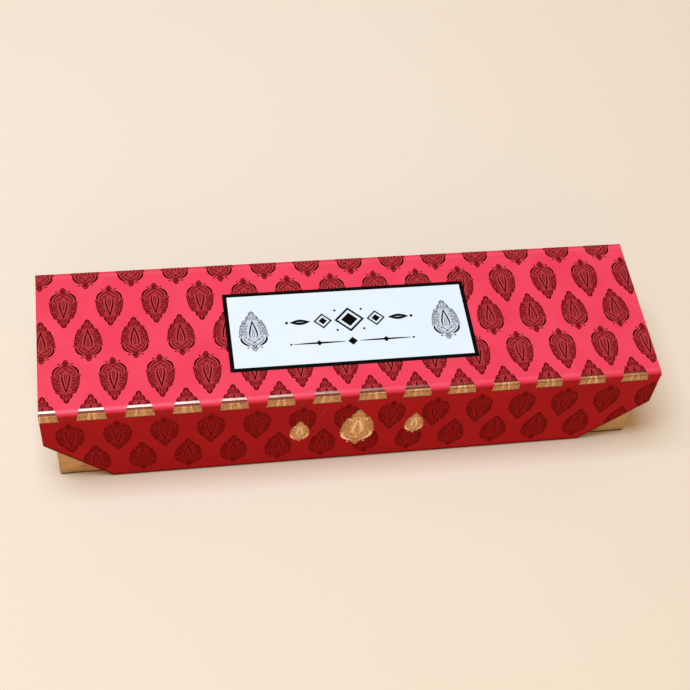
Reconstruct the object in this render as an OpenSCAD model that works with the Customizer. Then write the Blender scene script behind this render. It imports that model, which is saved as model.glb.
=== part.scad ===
// Long sweet box: a rigid tray with a hinged lid whose magnetic front flap closes over the tray.
// X runs along the box, -Y is the front with the flap, +Z is up.
// The origin is on the surface the box stands on, under the middle of the closed box.

/* [Box] */
// Outside length of the lid, which is the length of the closed box
box_l = 300; // [240:1:340]
// Outside depth of the closed box, from the flap's face to the spine's face
box_d = 84; // [70:1:110]
// Outside height of the closed box, to the top of the lid's paper
box_h = 56; // [50:1:80]
// Gap between the table and the lower edges of the flap and the spine
floor_gap = 0.5; // [0.3:0.1:2]

/* [Board and paper] */
// Thickness of the greyboard panels of lid, flap and spine
board_t = 2; // [1.5:0.1:2.5]
// Thickness of the printed cover paper with its glue
cover_t = 0.2; // [0.2:0.05:0.4]
// Thickness of the plain paper that lines the insides of lid and flap
lining_t = 0.2; // [0.1:0.05:0.4]
// Width of cover paper turned in over the edge of a board
turn_in = 15; // [8:0.5:18]
// Strip of turned-in paper that stays in sight round a lining sheet
lining_margin = 3; // [1:0.5:6]

/* [Lid and flap] */
// Outside radius of the paper where it folds over a corner
fold_r = 1.5; // [0.8:0.1:2]
// Free paper between a panel's inner face and the edge of the next board
fold_clear = 0.4; // [0.3:0.1:1.5]
// Height of the lid's paper that runs down the front of the flap
band_h = 5; // [5:0.5:10]
// Length of each side of the flap's cut corners
corner_cut = 31; // [15:1:32]
// Gap between the closed flap and the front of the tray
flap_clear = 0.4; // [0.3:0.1:1]
// Gap between the closed lid and the rim of the tray
lid_clear = 0.3; // [0.2:0.1:1]

/* [Tray] */
// How far the lid reaches past each end of the tray
end_overhang = 5.5; // [3:0.5:10]
// Thickness of the tray's greyboard
tray_board_t = 2; // [1.5:0.1:2.5]
// Thickness of the gold paper on the tray, with its glue
wrap_t = 0.3; // [0.25:0.05:0.5]
// Width of gold paper turned down inside the rim
rim_turn = 15; // [8:1:20]
// Width of gold paper turned under the tray
under_turn = 12; // [6:1:18]
// Thickness of the sheet glued under the tray
base_t = 0.2; // [0.1:0.05:0.4]
// Margin of the base sheet from the tray's outer edges
base_margin = 2; // [1:0.5:4]
// Thickness of the kraft tape that holds the tray's corners
stay_t = 0.15; // [0.1:0.05:0.2]
// Width of tape on each side of a corner
stay_w = 15; // [10:1:20]
// Distance of the tape from the upper and lower edges of the walls
stay_margin = 1; // [0.5:0.5:3]

/* [Magnets] */
// Diameter of the flap magnets and of the steel discs that they hold to
magnet_d = 12; // [8:0.5:14]
// Thickness of a flap magnet
magnet_t = 1.5; // [1:0.1:1.5]
// Thickness of a steel keeper disc in the tray's front wall
keeper_t = 1; // [0.5:0.1:1.2]
// Height of the magnets' centres above the table
magnet_z = 24; // [23:0.5:30]
// Distance of each magnet from the middle of the box
magnet_x = 85; // [40:1:90]
// Radial gap round a disc in its pocket
pocket_clear = 0.1; // [0.05:0.05:0.3]

/* [Dividers] */
// Number of compartments along the box
columns = 7; // [2:1:9]
// Thickness of the divider card
divider_t = 1; // [0.6:0.1:1.5]
// Height of the dividers
divider_h = 40; // [20:1:42]
// Gap between a divider's end and the lining of the tray
divider_clear = 0.3; // [0.2:0.1:1]
// Gap on each side of a card in its slot
slot_clear = 0.1; // [0.05:0.05:0.3]

/* [Label and medallions] */
// Length of the label on the lid
label_l = 121.5; // [60:0.5:160]
// Depth of the label
label_d = 47; // [25:0.1:60]
// Thickness of the label
label_t = 0.15; // [0.1:0.05:0.3]
// Distance of the label's middle in front of the lid's middle
label_shift = 0.7; // [0:0.1:5]
// Height of the large foil medallion on the flap
medallion_h = 30; // [20:0.5:32]
// Height of the two small medallions
small_medallion_h = 17.5; // [10:0.5:22]
// Distance of each small medallion from the middle of the flap
medallion_x = 28.6; // [24:0.1:50]
// Height of the medallions' middles above the table
medallion_z = 27.6; // [20:0.1:30]
// Depth to which the foil is pressed into the paper
foil_t = 0.1; // [0.05:0.05:0.15]

/* [Hidden] */

// Extra length of a cutting solid past the face that it cuts
over = 1;
// Faces of round discs and of the folded paper's corner
disc_faces = 96;
fold_faces = 48;

// Printed papers, plain papers and boards
lid_red = "#f4546b";
flap_red = "#a3161c";
gold = "#c89a58";
ivory = "#efe6d4";
grey = "#8f8b83";

// Faces of the closed box
front_y = -box_d / 2;
back_y = box_d / 2;
half_l = box_l / 2;

// A board panel with cover paper outside, turned-in paper and lining inside
panel_t = cover_t + board_t + cover_t + lining_t;
// Distance from an outside corner of the box to the edge of the board next to it
fold_set = panel_t + fold_clear;
lid_y0 = front_y + fold_set;
lid_y1 = back_y - fold_set;
flap_top = box_h - fold_set;
// The spine has one layer of paper between its board and the tray
spine_t = cover_t + board_t + cover_t;

// Outside of the tray with its paper
tray_l = box_l - 2 * end_overhang;
tray_y0 = front_y + panel_t + flap_clear;
tray_y1 = back_y - spine_t;
tray_mid_y = (tray_y0 + tray_y1) / 2;
tray_d = tray_y1 - tray_y0;
rim_z = box_h - panel_t - lid_clear;
// Levels of the tray, from the table upwards
floor_z0 = base_t + wrap_t;
floor_z1 = floor_z0 + tray_board_t;
wall_top = rim_z - wrap_t;
wall_in = wrap_t + tray_board_t;
inside_in = wall_in + wrap_t;
inside_z = floor_z1 + wrap_t;

// Compartments
inside_l = tray_l - 2 * inside_in;
inside_d = tray_d - 2 * inside_in;
column_pitch = inside_l / columns;
slot_z = inside_z + divider_h / 2;

// A block from its lowest to its highest corner
module block(lo, hi) {
    translate(lo) cube(hi - lo);
}

// A block with the tray's plan, drawn in by `inset` on all four sides
module tray_block(inset, z0, z1) {
    block([-tray_l / 2 + inset, tray_y0 + inset, z0], [tray_l / 2 - inset, tray_y1 - inset, z1]);
}

// Stands a shape drawn in X and Z upright between two values of Y
module upright(y0, y1) {
    translate([0, y1, 0]) rotate([90, 0, 0]) linear_extrude(y1 - y0) children();
}

// Puts copies of a shape at the two magnets
module at_magnets(y) {
    for (side = [-1, 1])
        translate([side * magnet_x, y, magnet_z]) children();
}

// A disc that lies against a face looking along Y, from its y to y + t
module disc(r, t) {
    rotate([-90, 0, 0]) cylinder(r = r, h = t, $fn = disc_faces);
}

// Outline of the flap, drawn in by `inset` at its ends, cut corners and lower edge
module flap_outline(inset, top) {
    cut = corner_cut - inset * (2 - sqrt(2));
    x = half_l - inset;
    z = floor_gap + inset;
    polygon([
        [-x, top], [-x, z + cut], [-x + cut, z],
        [x - cut, z], [x, z + cut], [x, top]
    ]);
}

// Section of paper folded over a corner at the origin, as far as the edges of the boards on both sides
module fold_section() {
    translate([fold_r, -cover_t]) square([fold_set - fold_r, cover_t]);
    translate([0, -fold_set]) square([cover_t, fold_set - fold_r]);
    translate([fold_r, -fold_r]) intersection() {
        difference() {
            circle(r = fold_r, $fn = fold_faces);
            circle(r = fold_r - cover_t, $fn = fold_faces);
        }
        translate([-fold_r, 0]) square(fold_r);
    }
}

// Folded paper along the whole box: `face` is the upright face's Y, `into` is +1 or -1 towards the lid
module fold_strip(face, into) {
    translate([-half_l, face, box_h]) scale([1, into, 1])
        rotate([90, 0, 90]) linear_extrude(box_l) fold_section();
}

// Traditional leaf medallion of height 1, foot at the origin, mirrored about its stem
body_points = [
    [0.00, 0.00], [0.07, 0.02], [0.09, 0.07], [0.08, 0.11], [0.13, 0.15], [0.21, 0.21],
    [0.26, 0.28], [0.275, 0.35], [0.265, 0.43], [0.255, 0.52], [0.24, 0.61], [0.20, 0.70],
    [0.11, 0.77], [0.09, 0.84], [0.05, 0.90], [0.00, 0.97]
];
// Centre and radius of each scroll along the edge
edge_scrolls = [
    [0.262, 0.40, 0.022], [0.25, 0.48, 0.022], [0.238, 0.56, 0.022], [0.218, 0.64, 0.024],
    [0.165, 0.71, 0.034], [0.085, 0.80, 0.032], [0.055, 0.87, 0.026], [0.0, 0.955, 0.045]
];
module leaf_medallion(h) {
    scale([h, h]) translate([0, -0.5]) {
        for (side = [-1, 1]) scale([side, 1]) {
            polygon(body_points);
            for (s = edge_scrolls)
                translate([s[0], s[1]]) circle(r = s[2], $fn = 20);
        }
    }
}

// TRAY

module tray_floor_board() {
    color(grey) tray_block(wrap_t, floor_z0, floor_z1);
}

module tray_front_board() {
    color(grey) difference() {
        block([-tray_l / 2 + wrap_t, tray_y0 + wrap_t, floor_z1],
              [tray_l / 2 - wrap_t, tray_y0 + wall_in, wall_top]);
        at_magnets(tray_y0 + wrap_t - over)
            disc(magnet_d / 2 + pocket_clear, keeper_t + over);
    }
}

module tray_back_board() {
    color(grey)
        block([-tray_l / 2 + wrap_t, tray_y1 - wall_in, floor_z1],
              [tray_l / 2 - wrap_t, tray_y1 - wrap_t, wall_top]);
}

// End wall, which stands between the front and back walls
module end_board(side) {
    color(grey) scale([side, 1, 1])
        block([tray_l / 2 - wall_in, tray_y0 + wall_in, floor_z1],
              [tray_l / 2 - wrap_t, tray_y1 - wall_in, wall_top]);
}

// One strip of tape bent round each upright corner of the boards
module corner_stays() {
    color("peru")
        for (sx = [-1, 1], sy = [-1, 1])
            translate([0, tray_mid_y, 0]) scale([sx, sy, 1]) corner_stay();
}

module corner_stay() {
    cx = tray_l / 2 - wrap_t;
    cy = tray_d / 2 - wrap_t;
    z0 = floor_z0 + stay_margin;
    z1 = wall_top - stay_margin;
    difference() {
        block([cx - stay_w, cy - stay_w, z0], [cx + stay_t, cy + stay_t, z1]);
        block([cx - stay_w - over, cy - stay_w - over, z0 - over], [cx, cy, z1 + over]);
    }
}

// Gold paper: outside of the walls, over the rim, down inside it, and under the floor's edges
module tray_wrap() {
    color(gold) difference() {
        union() {
            difference() {
                tray_block(0, base_t, rim_z);
                tray_block(wrap_t, floor_z0, wall_top);
                tray_block(wall_in, wall_top - over, rim_z + over);
                tray_block(under_turn, base_t - over, floor_z0 + over);
            }
            difference() {
                tray_block(wall_in, rim_z - rim_turn, rim_z);
                tray_block(inside_in, rim_z - rim_turn - over, rim_z + over);
            }
        }
        corner_stays();
    }
}

// Gold paper on the floor and up the walls to the turned-down wrap
module tray_lining() {
    color(gold) difference() {
        tray_block(wall_in, floor_z1, rim_z - rim_turn);
        tray_block(inside_in, inside_z, rim_z);
    }
}

// Sheet under the tray, which presses up between the turned-under edges
module base_sheet() {
    color("tan") {
        tray_block(base_margin, 0, base_t);
        tray_block(under_turn, base_t, floor_z0);
    }
}

module keeper_discs() {
    color("silver") at_magnets(tray_y0 + wrap_t) disc(magnet_d / 2, keeper_t);
}

// DIVIDERS

// Middle X of the card between column i - 1 and column i
function card_x(i) = -inside_l / 2 + i * column_pitch;

// Card along the box, slotted from above
module long_divider() {
    color(ivory) difference() {
        block([-inside_l / 2 + divider_clear, tray_mid_y - divider_t / 2, inside_z],
              [inside_l / 2 - divider_clear, tray_mid_y + divider_t / 2, inside_z + divider_h]);
        for (i = [1 : columns - 1])
            block([card_x(i) - divider_t / 2 - slot_clear, tray_mid_y - divider_t, slot_z],
                  [card_x(i) + divider_t / 2 + slot_clear, tray_mid_y + divider_t,
                   inside_z + divider_h + over]);
    }
}

// Cards across the box, slotted from below
module cross_dividers() {
    color(ivory) for (i = [1 : columns - 1]) difference() {
        block([card_x(i) - divider_t / 2, tray_mid_y - inside_d / 2 + divider_clear, inside_z],
              [card_x(i) + divider_t / 2, tray_mid_y + inside_d / 2 - divider_clear,
               inside_z + divider_h]);
        block([card_x(i) - divider_t, tray_mid_y - divider_t / 2 - slot_clear, inside_z - over],
              [card_x(i) + divider_t, tray_mid_y + divider_t / 2 + slot_clear, slot_z]);
    }
}

// SPINE, glued to the back of the tray

module spine_board() {
    color(grey)
        block([-half_l + cover_t, back_y - cover_t - board_t, floor_gap + cover_t],
              [half_l - cover_t, back_y - cover_t, flap_top]);
}

module spine_cover() {
    color(flap_red) difference() {
        block([-half_l, back_y - spine_t, floor_gap], [half_l, back_y, flap_top]);
        block([-half_l + cover_t, back_y - cover_t - board_t, floor_gap + cover_t],
              [half_l - cover_t, back_y - cover_t, flap_top + over]);
        block([-half_l + turn_in, back_y - spine_t - over, floor_gap + turn_in],
              [half_l - turn_in, back_y - cover_t - board_t, flap_top + over]);
    }
}

// Paper between the spine's board and the tray, inside the turned-in edges
module spine_lining() {
    color(ivory)
        block([-half_l + turn_in, back_y - spine_t, floor_gap + turn_in],
              [half_l - turn_in, back_y - spine_t + cover_t, flap_top]);
}

// LID

module lid_board() {
    color(grey)
        block([-half_l + cover_t, lid_y0, box_h - cover_t - board_t],
              [half_l - cover_t, lid_y1, box_h - cover_t]);
}

module lid_cover() {
    under = box_h - 2 * cover_t - board_t;
    color(lid_red) difference() {
        block([-half_l, lid_y0, under], [half_l, lid_y1, box_h]);
        block([-half_l + cover_t, lid_y0 - over, under + cover_t],
              [half_l - cover_t, lid_y1 + over, box_h - cover_t]);
        block([-half_l + turn_in, lid_y0 - over, under - over],
              [half_l - turn_in, lid_y1 + over, under + cover_t]);
    }
}

// Lining sheet, which presses up to the board between the turned-in edges
module lid_lining() {
    under = box_h - panel_t;
    color(ivory) {
        block([-half_l + lining_margin, lid_y0, under], [half_l - lining_margin, lid_y1, under + lining_t]);
        block([-half_l + turn_in, lid_y0, under + lining_t],
              [half_l - turn_in, lid_y1, under + lining_t + cover_t]);
    }
}

module label() {
    color("aliceblue")
        block([-label_l / 2, -label_shift - label_d / 2, box_h],
              [label_l / 2, -label_shift + label_d / 2, box_h + label_t]);
}

// Paper hinge between the spine and the lid
module back_fold() {
    color(lid_red) fold_strip(back_y, -1);
}

// Paper hinge between the lid and the flap
module front_fold() {
    color(lid_red) fold_strip(front_y, 1);
}

// FLAP

// End of the lid's paper, which is glued to the top of the flap's face
module flap_band() {
    color(flap_red)
        block([-half_l, front_y, box_h - band_h], [half_l, front_y + cover_t, flap_top]);
}

module flap_board() {
    color(grey) difference() {
        upright(front_y + cover_t, front_y + cover_t + board_t) flap_outline(cover_t, flap_top);
        at_magnets(front_y + cover_t + board_t - magnet_t)
            disc(magnet_d / 2 + pocket_clear, magnet_t + over);
    }
}

module flap_cover() {
    board_y1 = front_y + cover_t + board_t;
    color(flap_red) difference() {
        upright(front_y, board_y1 + cover_t) flap_outline(0, flap_top);
        upright(front_y + cover_t, board_y1) flap_outline(cover_t, flap_top + over);
        upright(board_y1, board_y1 + cover_t + over) flap_outline(turn_in, flap_top + over);
        block([-half_l - over, front_y - over, box_h - band_h],
              [half_l + over, front_y + cover_t, box_h]);
        medallions_to(front_y - over);
    }
}

// Lining sheet, which presses against the board inside the turned-in edges
module flap_lining() {
    board_y1 = front_y + cover_t + board_t;
    color(ivory) {
        upright(board_y1, board_y1 + cover_t) flap_outline(turn_in, flap_top);
        upright(board_y1 + cover_t, front_y + panel_t) flap_outline(lining_margin, flap_top);
    }
}

module flap_magnets() {
    color("dimgray") at_magnets(front_y + cover_t + board_t - magnet_t) disc(magnet_d / 2, magnet_t);
}

// The three medallions, from the bottom of their pressed beds forward to y
module medallions_to(y) {
    translate([0, 0, medallion_z])
        upright(y, front_y + foil_t) leaf_medallion(medallion_h);
    for (side = [-1, 1])
        translate([side * medallion_x, 0, medallion_z])
            upright(y, front_y + foil_t) leaf_medallion(small_medallion_h);
}

module flap_medallions() {
    color(gold) medallions_to(front_y);
}

tray_floor_board();
tray_front_board();
tray_back_board();
end_board(-1);  // tray_left_board
end_board(1);  // tray_right_board
corner_stays();
tray_wrap();
tray_lining();
base_sheet();
keeper_discs();
long_divider();
cross_dividers();
spine_board();
spine_cover();
spine_lining();
lid_board();
lid_cover();
lid_lining();
label();
back_fold();
front_fold();
flap_band();
flap_board();
flap_cover();
flap_lining();
flap_magnets();
flap_medallions();
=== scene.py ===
import math

import bmesh
import bpy
from mathutils import Matrix, Vector, geometry


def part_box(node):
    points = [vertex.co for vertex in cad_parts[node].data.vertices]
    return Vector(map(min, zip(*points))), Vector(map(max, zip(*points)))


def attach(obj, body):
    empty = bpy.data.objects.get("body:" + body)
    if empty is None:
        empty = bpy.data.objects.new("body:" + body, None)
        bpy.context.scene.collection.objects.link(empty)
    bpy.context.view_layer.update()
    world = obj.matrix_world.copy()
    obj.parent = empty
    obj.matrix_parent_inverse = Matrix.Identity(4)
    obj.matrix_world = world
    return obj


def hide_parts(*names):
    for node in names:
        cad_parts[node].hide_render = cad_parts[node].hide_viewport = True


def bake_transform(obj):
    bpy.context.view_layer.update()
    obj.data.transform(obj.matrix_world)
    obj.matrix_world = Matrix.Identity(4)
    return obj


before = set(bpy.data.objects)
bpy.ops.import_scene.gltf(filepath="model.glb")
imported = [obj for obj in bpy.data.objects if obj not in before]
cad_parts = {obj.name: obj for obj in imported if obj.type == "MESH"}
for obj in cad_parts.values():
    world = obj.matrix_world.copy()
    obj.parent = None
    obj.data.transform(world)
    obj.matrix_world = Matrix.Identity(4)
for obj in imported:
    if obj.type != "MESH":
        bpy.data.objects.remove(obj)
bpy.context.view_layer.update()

# Lengths are written in millimetres, and every mesh is scaled by MM when it is made
MM = 0.001
X, Y, Z = 0, 1, 2


def reach(node, axis):
    """Lowest and highest value of a CAD node along an axis, in millimetres."""
    low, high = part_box(node)
    return low[axis] / MM, high[axis] / MM


# Faces of the closed box
HALF_L = reach("lid_cover", X)[1]
FRONT_Y = reach("flap_cover", Y)[0]
BACK_Y = reach("spine_cover", Y)[1]
TOP_Z = reach("lid_cover", Z)[1]
BOX_D = BACK_Y - FRONT_Y
PANEL_LOW = reach("flap_cover", Z)[0]
BAND_LOW, FLAP_TOP = reach("flap_band", Z)
LID_Y0, LID_Y1 = reach("lid_board", Y)

# Thickness of a board with its paper on both faces, and the paper turned in over its edges
WRAPPED_T = TOP_Z - reach("lid_cover", Z)[0]
TURN_IN = 15
PAPER_T = 0.18
# Radius of the paper round a board's edge and of a panel's corners
EDGE_R = 0.45
CORNER_R = 0.9
# Distance from the box's corner at which the cover starts to bend over each fold
FRONT_BEND_START = 3.7
BACK_BEND_START = 1.2
# Two layers of paper in the gaps between panels, and the distance over which the boards begin
HINGE_T = 0.42
BOARD_STEP = 0.12
# Distance from a corner of the box to the boards beside it, and along the sheet to the lid board's back edge
FOLD_SET = LID_Y0 - FRONT_Y
LID_BACK = LID_Y1 - FRONT_Y
# The paper starts to thicken this far before a board begins
BOARD_LEAD = 0.05
# Loops this close to a bend keep the flat faces beside it evenly lit
BESIDE = 0.15
# Least radius of a corner, and half of the flat that stays between the two rounds of a thin edge
LEAST_R = 0.02
HALF_FLAT = 0.005
# Edges sharper than this stay sharp
SHARP_ANGLE = math.radians(40)
# Steps over a paper's rounded edge, a corner, a fold, the box from end to end, and the lid from front to back
ROUND_STEPS = 4
FILLET_STEPS = 5
FOLD_STEPS = 18
ACROSS_STEPS = 24
BACK_STEPS = 8
# Points of the frame closer than this to a face lie on it
ON_FACE = 0.01

# Printed leaf motifs
MOTIF_H = 24.2
MOTIF_PITCH = 21.88
MOTIF_PERIOD = 43.2
MOTIF_COLUMNS = 14
# Where the first columns of the leaves that point down and up stand
DOWN_X = -137.06
UP_X = -148.0
# Feet of the leaves: on the lid from its front corner, and on the flap and the spine above the floor
DOWN_FOOT = 31.2
UP_FOOT = 30.1
PANEL_HIGH_FOOT = 48.8
PANEL_LOW_FOOT = 4.35
# Height of the printed faces above the paper
FILL_LIFT = 0.03
LINE_LIFT = 0.045
GLINT_LIFT = 0.06
BOLD_LIFT = 0.075
# Margin that the print keeps from the ends of a panel
PRINT_MARGIN = 0.15
# Steps in which the print bends over the front and back folds
FRONT_SCORES = 14
BACK_SCORES = 8

# Medallions on the flap
LARGE_MEDALLION = 30.6
SMALL_MEDALLION = 17.5
MEDALLION_X = 28.5
MEDALLION_Z = 28.1

# Label
LABEL_BORDER = 2.1
LABEL_LEAF = 23.7
LABEL_LEAF_WIDEN = 1.08
LABEL_LEAF_X = 47.7
# Room for the print above the label's plate, and the chamfer of the plate's edge
LABEL_PRINT_T = 0.06
LABEL_CHAMFER = 0.04
# Heights of the ornament and of the rule below it, from the label's middle
ORNAMENT_Y = 3.6
RULE_Y = -9.5
# Inset of a lozenge's filled middle, in thicknesses of its line
LOZENGE_INSET = 2.2

# Gold paper of the tray: its rounds, how far it goes under the floor, its steps up a wall, and where its end
# sheets start
TRAY_CORNER_R = 0.9
TRAY_EDGE_R = 0.5
TRAY_UNDER = 12
TRAY_STEPS = 4
TRAY_LAP = 1.1
# Edge of an end sheet, as (inset, lift) from the tray's face
END_SHEET_EDGE = ((0, 0), (0, 0.07), (0.04, 0.1))

# Fine scratches on the flap, as (u, s) points
SCUFFS = (
    ((-16.4, -7.3), (-17.4, -11.6), (-19.9, -16.2)),
    ((-22.8, -30.4), (-20.6, -31.9), (-18.0, -32.8)),
    ((-11.9, -39.4), (-9.4, -40.4), (-7.3, -40.0)),
)


# Meshes


def link(name, data):
    """Puts a mesh, lamp or camera into the scene as an object at the origin."""
    piece = bpy.data.objects.new(name, data)
    bpy.context.scene.collection.objects.link(piece)
    return piece


def mesh_from(name, points, faces, sheet=None):
    """A mesh in metres from points in millimetres, with a Sheet map where (u, s) of each point is given."""
    mesh = bpy.data.meshes.new(name)
    mesh.from_pydata([Vector(p) * MM for p in points], [], faces)
    if sheet:
        layer = mesh.uv_layers.new(name="Sheet")
        for loop in mesh.loops:
            layer.data[loop.index].uv = sheet[loop.vertex_index]
    return mesh


def face_outwards(mesh, outside):
    """Makes the normals agree, so that the face furthest towards `outside` looks that way."""
    bm = bmesh.new()
    bm.from_mesh(mesh)
    bmesh.ops.recalc_face_normals(bm, faces=bm.faces)
    furthest = max(bm.faces, key=lambda face: face.calc_center_median().dot(Vector(outside)))
    if furthest.normal.dot(Vector(outside)) < 0:
        bmesh.ops.reverse_faces(bm, faces=bm.faces)
    bm.to_mesh(mesh)
    bm.free()


def baked(piece):
    """Replaces a piece's mesh by what its modifiers make of it."""
    graph = bpy.context.evaluated_depsgraph_get()
    mesh = bpy.data.meshes.new_from_object(
        piece.evaluated_get(graph), preserve_all_data_layers=True, depsgraph=graph
    )
    piece.modifiers.clear()
    piece.data = mesh
    return piece


def thicken(piece):
    """Gives a paper its thickness, inwards, with the second material on the inner face."""
    wall = piece.modifiers.new("wall", "SOLIDIFY")
    wall.thickness = PAPER_T * MM
    wall.offset = -1
    wall.use_even_offset = True
    wall.material_offset = 1
    baked(piece)


def smooth_shade(mesh):
    """Smooth faces, with sharp edges left sharp."""
    mesh.polygons.foreach_set("use_smooth", [True] * len(mesh.polygons))
    mesh.set_sharp_from_angle(angle=SHARP_ANGLE)


def evenly(start, end, count):
    """Numbers from start to end in `count` equal steps."""
    return [start + (end - start) * i / count for i in range(count + 1)]


def rectangle(low, high, inset=0.0):
    """Corners of a rectangle, drawn in from its lowest and highest corner by an inset."""
    x0, y0, x1, y1 = low[0] + inset, low[1] + inset, high[0] - inset, high[1] - inset
    return [(x0, y0), (x1, y0), (x1, y1), (x0, y1)]


def closed_rings(rings):
    """Points and faces of a band through closed rings with the same number of points."""
    points = [point for ring in rings for point in ring]
    count = len(rings[0])
    faces = []
    for first in range(0, len(points) - count, count):
        for i in range(count):
            a, b = first + i, first + (i + 1) % count
            faces.append((a, b, b + count, a + count))
    return points, faces


class Bend:
    """The cover's way over a fold. Its slope in degrees is given at shares of the way down."""

    steps = 40

    def __init__(self, start, slopes):
        self.start = start
        self.slopes = slopes
        self.line = [Vector((0, 0))]
        for i in range(self.steps):
            angle = self.slope((i + 0.5) / self.steps)
            self.line.append(self.line[-1] + Vector((math.cos(angle), math.sin(angle))))
        scale = start / self.line[-1].x
        self.line = [point * scale for point in self.line]
        self.drop = self.line[-1].y

    def slope(self, share):
        """Slope of the paper in radians at a share of its way."""
        for (low, first), (high, last) in zip(self.slopes, self.slopes[1:]):
            if share <= high:
                return math.radians(first + (last - first) * (share - low) / (high - low))
        return math.radians(self.slopes[-1][1])

    def place(self, run, depth):
        """(inset, drop) from the box's corner, where run is the distance over the lid or, below 0, down."""
        if run >= self.start:
            return run, depth
        if run <= -self.drop:
            return depth, -run
        share = (self.start - run) / (self.start + self.drop)
        step = min(int(share * self.steps), self.steps - 1)
        along, down = self.line[step].lerp(self.line[step + 1], share * self.steps - step)
        angle = self.slope(share)
        return self.start - along + depth * math.sin(angle), down + depth * math.cos(angle)

    def runs(self, count):
        """Runs over the bend in even steps, from below to above."""
        return evenly(-self.drop, self.start, count)


FRONT_BEND = Bend(FRONT_BEND_START, ((0, 0), (0.1, 10), (0.57, 12), (1, 90)))
BACK_BEND = Bend(BACK_BEND_START, ((0, 0), (1, 90)))


def folded(s, depth):
    """(y, z) of the box's cover s from the front corner along the sheet, depth below its outer face.

    s runs from 0 at the front corner to BOX_D at the back corner over the lid, is less than 0 down the
    flap, and more than BOX_D down the spine."""
    if s < BOX_D / 2:
        inset, drop = FRONT_BEND.place(s, depth)
        return FRONT_Y + inset, TOP_Z - drop
    inset, drop = BACK_BEND.place(BOX_D - s, depth)
    return BACK_Y - inset, TOP_Z - drop


def quarter(radius):
    """Points of a quarter circle from (radius, 0) to (0, radius): (inset, depth)."""
    turns = evenly(0, math.pi / 2, ROUND_STEPS)
    return [(radius * (1 - math.sin(t)), radius * (1 - math.cos(t))) for t in turns]


def edge_profile(thick):
    """Paper round a board's edge, from its outer face to where its turned-in strip ends: (inset, depth)."""
    radius = min(EDGE_R, thick / 2 - HALF_FLAT)
    outer = quarter(radius)
    inner = [(inset, thick - depth) for inset, depth in reversed(outer)]
    flat = radius + BESIDE
    return [(flat, 0)] + outer + inner + [(flat, thick), (TURN_IN, thick)]


def hinge_stations(corner, towards, bend):
    """Distances along the sheet over a fold at `corner`, with the wrapped thickness at each.

    `towards` is 1 where the lid lies the way that s grows, and -1 where it lies the other way."""
    gap = FOLD_SET - BOARD_LEAD
    runs = bend.runs(FOLD_STEPS) + [-bend.drop - BESIDE, bend.start + BESIDE]
    runs += [-gap - BOARD_STEP, -gap, gap, gap + BOARD_STEP]
    return sorted((corner + towards * run, WRAPPED_T if abs(run) > gap else HINGE_T) for run in runs)


def wrapped_sheet(name, stations):
    """Paper over one or two panels and the fold between them, wrapped round the panels' ends.

    Each station is a distance along the sheet and the thickness that the paper wraps there."""
    points, sheet = [], []
    for s, thick in stations:
        edge = edge_profile(thick)
        inner = HALF_L - edge[0][0]
        across = [(-HALF_L + inset, depth) for inset, depth in reversed(edge)]
        across += [(u, 0) for u in evenly(-inner, inner, ACROSS_STEPS)[1:-1]]
        across += [(HALF_L - inset, depth) for inset, depth in edge]
        for u, depth in across:
            points.append((u, *folded(s, depth)))
            sheet.append((u + math.copysign(depth, u), s))
    width = len(points) // len(stations)
    faces = []
    for row in range(0, len(points) - width, width):
        for first in range(row, row + width - 1):
            faces.append((first, first + 1, first + width + 1, first + width))
    return mesh_from(name, points, faces, sheet)


def fillet(corners, radius):
    """A line through corners that turn left, each rounded to a radius. The first and last points stay."""
    corners = [Vector(corner) for corner in corners]
    line = corners[:1]
    for before, at, after in zip(corners, corners[1:], corners[2:]):
        arrive = (at - before).normalized()
        turn = arrive.angle(after - at)
        start = at - arrive * radius * math.tan(turn / 2)
        centre = start + Vector((-arrive.y, arrive.x)) * radius
        for angle in evenly(0, turn, FILLET_STEPS):
            line.append(centre + Matrix.Rotation(angle, 2) @ (start - centre))
    return line + corners[-1:]


def panel_outline(inset, cut):
    """Outline of a hanging panel from its top left, down and round to its top right, as (x, z)."""
    x, low = HALF_L - inset, PANEL_LOW + inset
    leg = cut - inset * (2 - math.sqrt(2))
    corners = [(-x, BAND_LOW), (-x, low), (x, low), (x, BAND_LOW)]
    if cut:
        corners[1:3] = [(-x, low + leg), (-x + leg, low), (x - leg, low), (x, low + leg)]
    return fillet(corners, max(CORNER_R - inset, LEAST_R))


def panel_sheet(name, cut, sheet_place):
    """Paper over the face and round the edges of a hanging panel, below the band at its top."""
    points, sheet, rings = [], [], []
    for inset, depth in edge_profile(WRAPPED_T):
        ring = []
        for x, z in panel_outline(inset, cut):
            s = sheet_place(z)
            ring.append(len(points))
            points.append((x, *folded(s, depth)))
            sheet.append((x, s))
        rings.append(ring)
    faces = [tuple(rings[0])]
    for outer, inner in zip(rings, rings[1:]):
        for i in range(len(outer) - 1):
            faces.append((outer[i], outer[i + 1], inner[i + 1], inner[i]))
    return mesh_from(name, points, faces, sheet)


def on_flap(z):
    """Distance along the sheet of a height on the flap."""
    return z - TOP_Z


def on_spine(z):
    """Distance along the sheet of a height on the spine."""
    return BOX_D + TOP_Z - z


# Drawings that are printed on the papers


def smooth_line(points, steps=4):
    """A smooth line through points, with `steps` pieces between each two."""
    ends = [2 * Vector(points[0]) - Vector(points[1])]
    ends += [Vector(p) for p in points]
    ends.append(2 * Vector(points[-1]) - Vector(points[-2]))
    line = []
    for a, b, c, d in zip(ends, ends[1:], ends[2:], ends[3:]):
        for i in range(steps):
            t = i / steps
            part = 2 * b + (c - a) * t + (2 * a - 5 * b + 4 * c - d) * t**2
            line.append((part + (3 * b - a - 3 * c + d) * t**3) / 2)
    line.append(Vector(points[-1]))
    return line


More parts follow.
